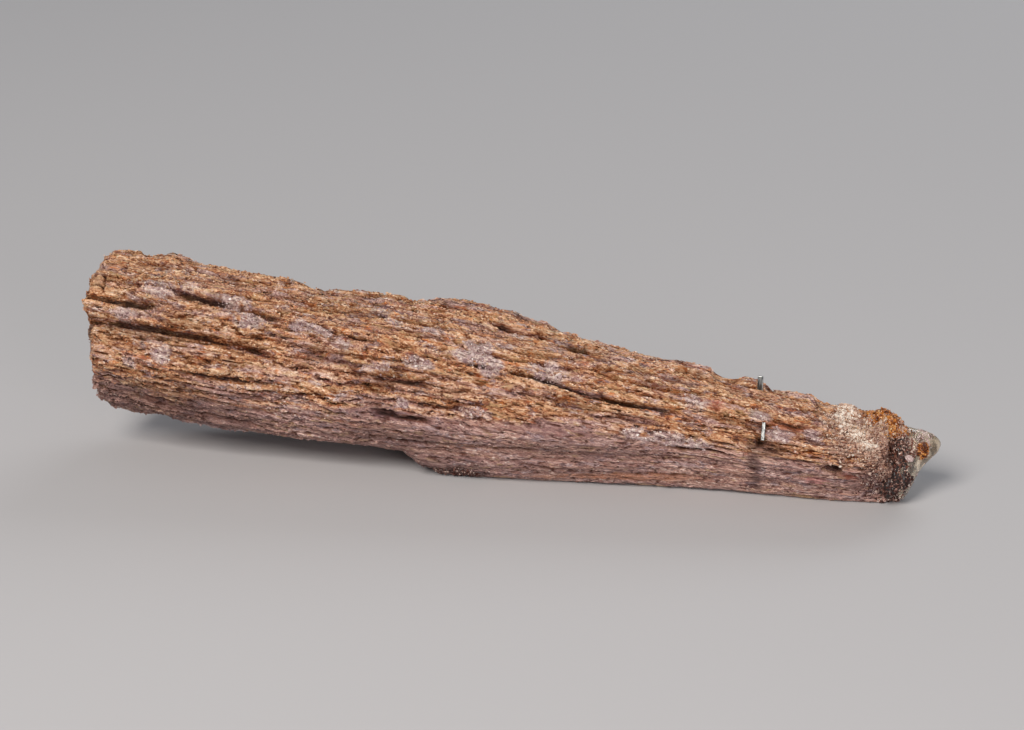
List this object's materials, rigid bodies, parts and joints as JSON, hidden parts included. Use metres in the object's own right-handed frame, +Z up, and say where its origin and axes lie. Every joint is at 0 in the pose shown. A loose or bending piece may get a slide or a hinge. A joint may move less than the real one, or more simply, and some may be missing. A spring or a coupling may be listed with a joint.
{
  "type": "rhabdophane specimen",
  "caption": "Long tapering six-sided crystal of fibrous rhabdophane lying on one long face, with a clear quartz remnant on its thin end.",
  "frame": {"origin": "on the surface the specimen rests on, under the middle of its length and width", "axes": "+X along the crystal from its thick broken end to its thin end, +Z up"},
  "size_m": [0.0636, 0.0134, 0.0143],
  "materials": {
    "fibrous_rhabdophane": "matt, fibrous, with long pores",
    "clear_quartz": "glassy broken faces",
    "quartz_grain": "glassy grains",
    "drusy_crust": "granular, sparkling",
    "grey_metal": "worn"
  },
  "bodies": {
    "root": {"rhabdophane_crystal": "fibrous_rhabdophane", "quartz_tip": "clear_quartz"}
  },
  "joints": []
}
